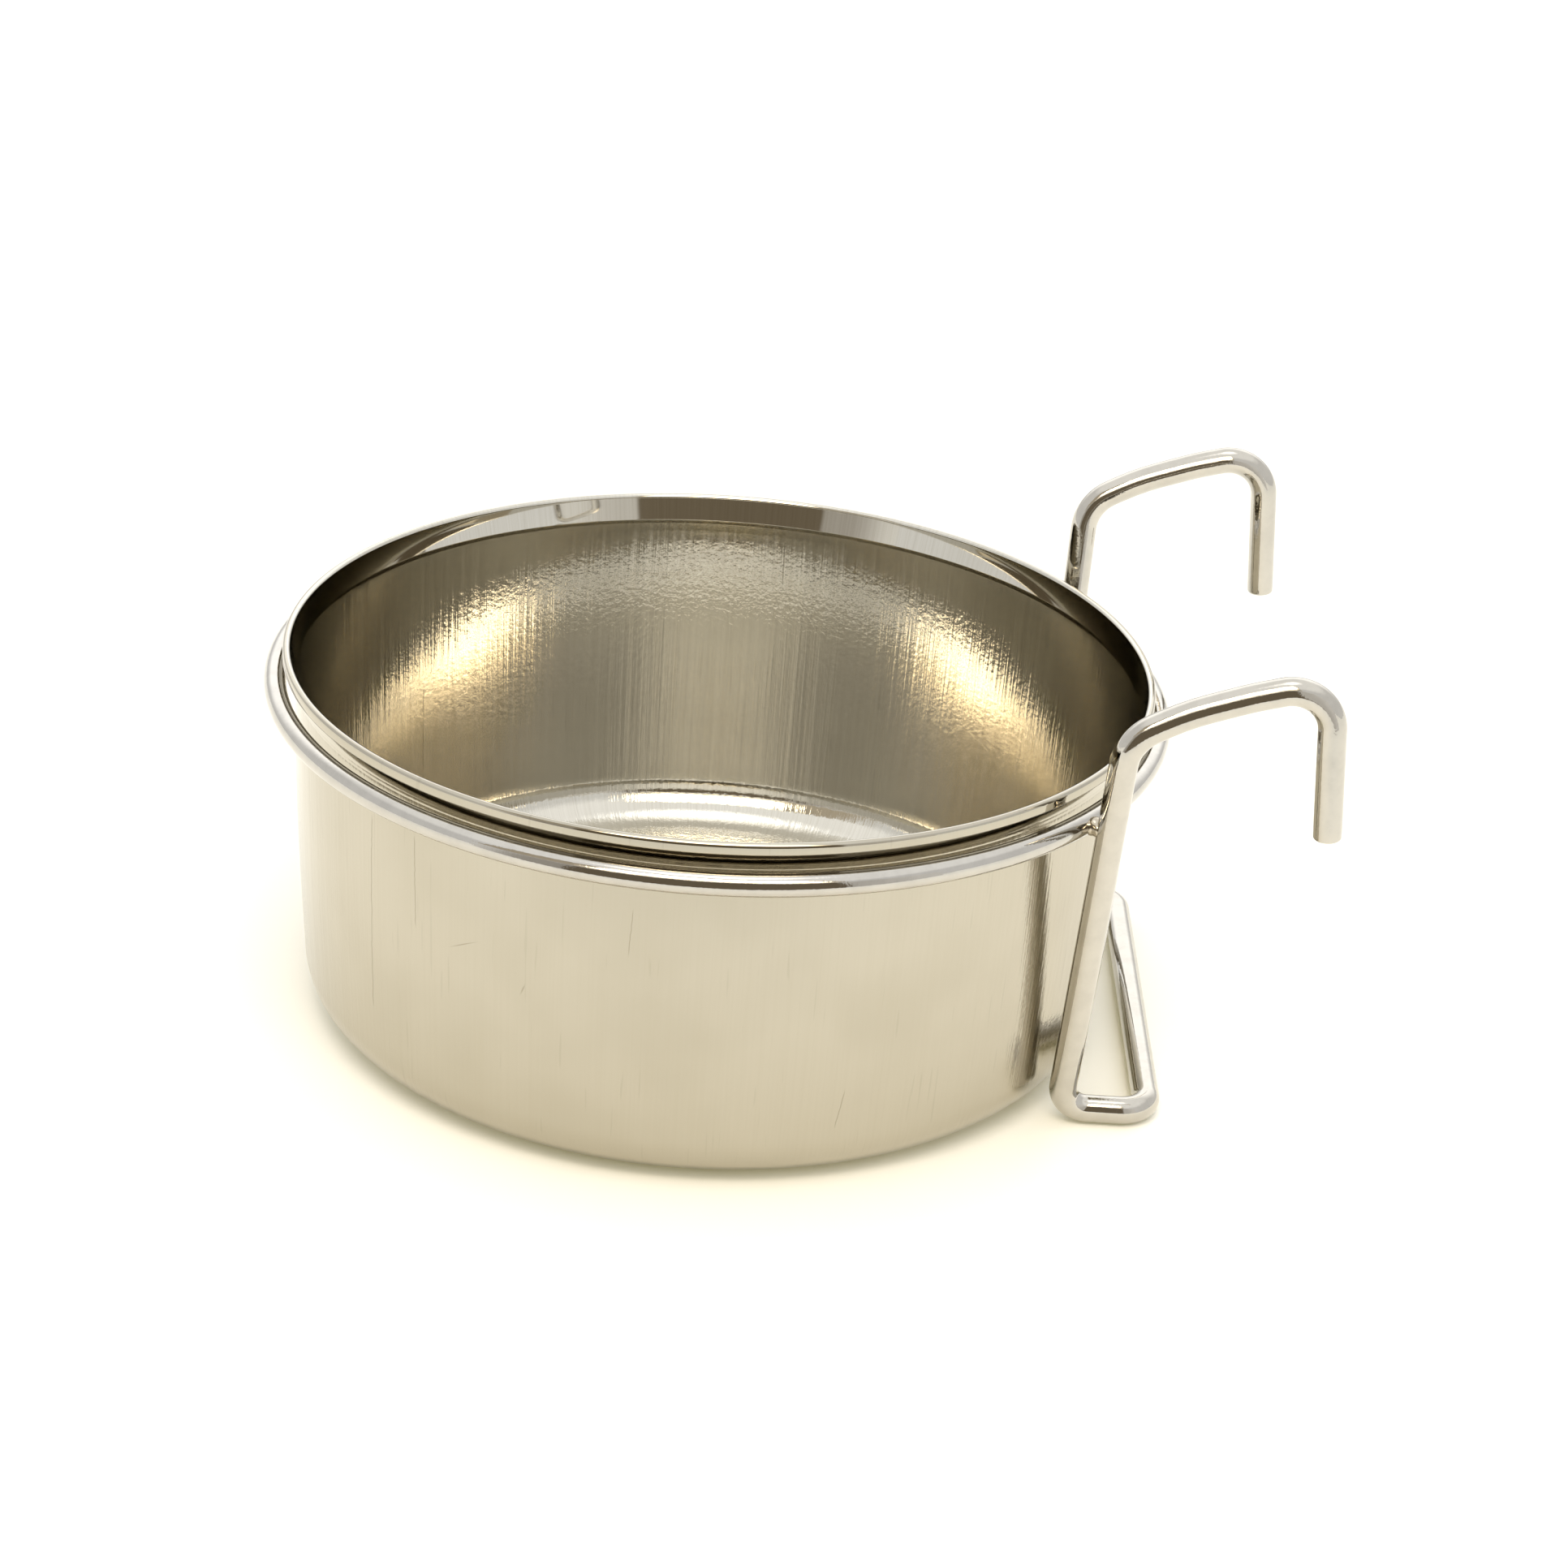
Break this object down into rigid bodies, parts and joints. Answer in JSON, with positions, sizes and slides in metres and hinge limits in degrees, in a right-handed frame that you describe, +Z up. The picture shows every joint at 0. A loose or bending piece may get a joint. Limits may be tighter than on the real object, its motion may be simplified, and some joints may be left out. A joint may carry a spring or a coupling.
{
  "type": "coop cup with wire hanger",
  "caption": "Round stainless feed or water cup with a rolled rim, lifting out of a wire ring holder that hooks over cage wire.",
  "frame": {"origin": "centre of the cup's flat base, on the surface the part stands on", "axes": "+X from the cup to the cage that the hooks hang on, +Z up out of the cup, +Y to the left hook"},
  "size_m": [0.152, 0.1324, 0.0757],
  "materials": {
    "cup": "satin stainless, finely brushed up the wall",
    "ring": "bright polished wire",
    "hanger_wire": "bright polished wire",
    "weld_left": "plated-over weld bead",
    "weld_right": "plated-over weld bead"
  },
  "bodies": {
    "holder": {"ring": "ring", "hanger_wire": "hanger_wire", "weld_left": "weld_left", "weld_right": "weld_right"},
    "cup": {"cup": "cup"}
  },
  "joints": [
    {"name": "cup_lift", "type": "slide", "parent": "holder", "child": "cup", "axis": [0, 0, 1], "range_m": [0, 0.08]}
  ]
}
